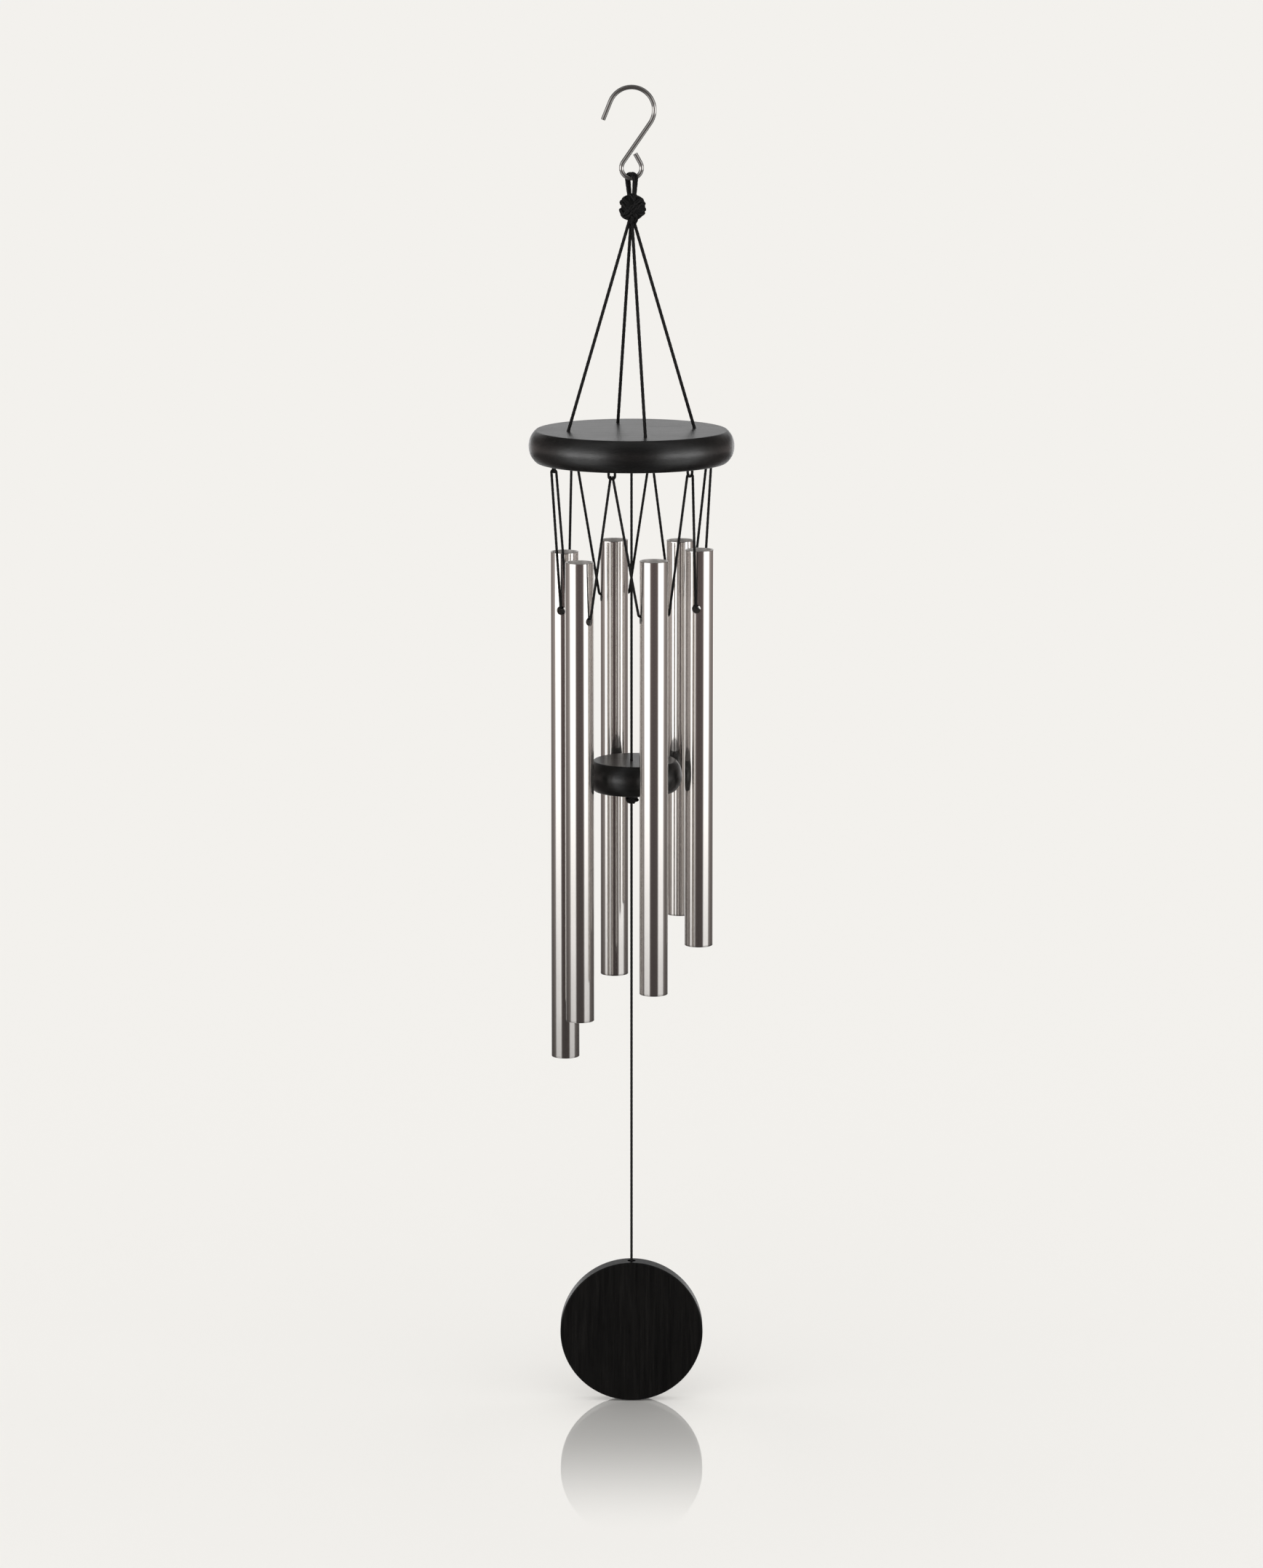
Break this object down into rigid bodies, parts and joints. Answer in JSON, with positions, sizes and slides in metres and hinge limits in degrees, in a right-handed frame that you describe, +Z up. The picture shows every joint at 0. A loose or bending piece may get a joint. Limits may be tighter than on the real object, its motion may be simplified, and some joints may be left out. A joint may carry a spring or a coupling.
{
  "type": "wind chime",
  "caption": "Hanging wind chime: black wooden disc on cords from a steel S-hook, aluminium tubes round a wooden striker, and a round wooden sail",
  "frame": {"origin": "The inside of the hook's crown, where the rod or branch that carries the chime lies.", "axes": "+Z up, the chime hangs along -Z; the hook lies in the XZ plane with its open tip towards -X; the sail faces -Y, the side seen in the picture."},
  "size_m": [0.1346, 0.1346, 0.8791],
  "materials": {
    "polished_steel": "polished round wire",
    "brushed_aluminium": "drawn tube with a fine lengthwise brushed grain, natural anodised",
    "black_wood": "black stain under a satin lacquer, open grain showing",
    "black_cord": "round braided nylon cord, matte"
  },
  "bodies": {
    "hook": {"hook": "polished_steel"},
    "hanging_loop": {"loop_cord_left": "black_cord", "loop_cord_right": "black_cord", "top_knot": "black_cord"},
    "canopy": {"suspension_strand_1": "black_cord", "suspension_strand_2": "black_cord", "suspension_strand_3": "black_cord", "suspension_strand_4": "black_cord", "stopper_knot_1": "black_cord", "stopper_knot_2": "black_cord", "stopper_knot_3": "black_cord", "stopper_knot_4": "black_cord", "top_disc": "black_wood", "centre_plug": "black_wood", "hanger_loop_1": "black_cord", "hanger_loop_2": "black_cord", "hanger_loop_3": "black_cord", "hanger_loop_4": "black_cord", "hanger_loop_5": "black_cord", "hanger_loop_6": "black_cord"},
    "sling_1": {"sling_1": "black_cord"},
    "sling_2": {"sling_2": "black_cord"},
    "sling_3": {"sling_3": "black_cord"},
    "sling_4": {"sling_4": "black_cord"},
    "sling_5": {"sling_5": "black_cord"},
    "sling_6": {"sling_6": "black_cord"},
    "tube_1": {"tube_1": "brushed_aluminium"},
    "tube_2": {"tube_2": "brushed_aluminium"},
    "tube_3": {"tube_3": "brushed_aluminium"},
    "tube_4": {"tube_4": "brushed_aluminium"},
    "tube_5": {"tube_5": "brushed_aluminium"},
    "tube_6": {"tube_6": "brushed_aluminium"},
    "centre_knot": {"centre_knot": "black_cord"},
    "centre_cord": {"centre_cord": "black_cord"},
    "striker": {"striker": "black_wood"},
    "striker_knot": {"striker_knot": "black_cord"},
    "sail_cord": {"sail_cord": "black_cord", "sail_knot": "black_cord"},
    "sail": {"sail": "black_wood", "sail_plug": "black_wood"}
  },
  "joints": [
    {"name": "loop_swing", "type": "hinge", "parent": "hook", "child": "hanging_loop", "pos_m": [0, 0, -0.0571], "axis": [1, 0, 0], "range_deg": [-30, 30]},
    {"name": "disc_swing", "type": "hinge", "parent": "hanging_loop", "child": "canopy", "pos_m": [0, 0, -0.0847], "axis": [0, 1, 0], "range_deg": [-20, 20]},
    {"name": "sling_1_swing", "type": "hinge", "parent": "canopy", "child": "sling_1", "pos_m": [-0.04415, 0.01101, -0.2458], "axis": [0.2419, 0.9703, 0], "range_deg": [-0.3, 15]},
    {"name": "tube_1_swing", "type": "hinge", "parent": "sling_1", "child": "tube_1", "pos_m": [-0.04406, 0.01137, -0.33836], "axis": [0.2419, 0.9703, 0], "range_deg": [-0.7, 12]},
    {"name": "sling_2_swing", "type": "hinge", "parent": "canopy", "child": "sling_2", "pos_m": [-0.03161, -0.03273, -0.2458], "axis": [-0.7193, 0.6947, 0], "range_deg": [-0.3, 15]},
    {"name": "tube_2_swing", "type": "hinge", "parent": "sling_2", "child": "tube_2", "pos_m": [-0.03388, -0.03053, -0.33954], "axis": [-0.7193, 0.6947, 0], "range_deg": [-0.7, 12]},
    {"name": "sling_3_swing", "type": "hinge", "parent": "canopy", "child": "sling_3", "pos_m": [0.01254, -0.04374, -0.2458], "axis": [0.9613, 0.2756, 0], "range_deg": [-15, 0.3]},
    {"name": "tube_3_swing", "type": "hinge", "parent": "sling_3", "child": "tube_3", "pos_m": [0.01451, -0.04317, -0.33684], "axis": [0.9613, 0.2756, 0], "range_deg": [-12, 0.7]},
    {"name": "sling_4_swing", "type": "hinge", "parent": "canopy", "child": "sling_4", "pos_m": [0.04415, -0.01101, -0.2458], "axis": [0.2419, 0.9703, 0], "range_deg": [-15, 0.3]},
    {"name": "tube_4_swing", "type": "hinge", "parent": "sling_4", "child": "tube_4", "pos_m": [0.04437, -0.0101, -0.33408], "axis": [0.2419, 0.9703, 0], "range_deg": [-12, 0.7]},
    {"name": "sling_5_swing", "type": "hinge", "parent": "canopy", "child": "sling_5", "pos_m": [0.03161, 0.03273, -0.2458], "axis": [0.7193, -0.6947, 0], "range_deg": [-0.3, 15]},
    {"name": "tube_5_swing", "type": "hinge", "parent": "sling_5", "child": "tube_5", "pos_m": [0.03241, 0.03195, -0.33367], "axis": [0.7193, -0.6947, 0], "range_deg": [-0.7, 12]},
    {"name": "sling_6_swing", "type": "hinge", "parent": "canopy", "child": "sling_6", "pos_m": [-0.01254, 0.04374, -0.2458], "axis": [0.9613, 0.2756, 0], "range_deg": [-0.3, 15]},
    {"name": "tube_6_swing", "type": "hinge", "parent": "sling_6", "child": "tube_6", "pos_m": [-0.01147, 0.04405, -0.33508], "axis": [0.9613, 0.2756, 0], "range_deg": [-0.7, 12]},
    {"name": "centre_fore_aft", "type": "hinge", "parent": "canopy", "child": "centre_knot", "pos_m": [0, 0, -0.2414], "axis": [1, 0, 0], "range_deg": [-0.6, 0.6]},
    {"name": "centre_side", "type": "hinge", "parent": "centre_knot", "child": "centre_cord", "pos_m": [0, 0, -0.2414], "axis": [0, 1, 0], "range_deg": [-0.6, 0.6]},
    {"name": "striker_turn", "type": "hinge", "parent": "centre_cord", "child": "striker", "pos_m": [0, 0, -0.4594], "axis": [0, 0, 1], "continuous": true},
    {"name": "sail_fore_aft", "type": "hinge", "parent": "centre_cord", "child": "striker_knot", "pos_m": [0, 0, -0.469], "axis": [1, 0, 0], "range_deg": [-20, 20]},
    {"name": "sail_side", "type": "hinge", "parent": "striker_knot", "child": "sail_cord", "pos_m": [0, 0, -0.469], "axis": [0, 1, 0], "range_deg": [-20, 20]},
    {"name": "sail_turn", "type": "hinge", "parent": "sail_cord", "child": "sail", "pos_m": [0, 0, -0.7806], "axis": [0, 0, 1], "continuous": true}
  ]
}
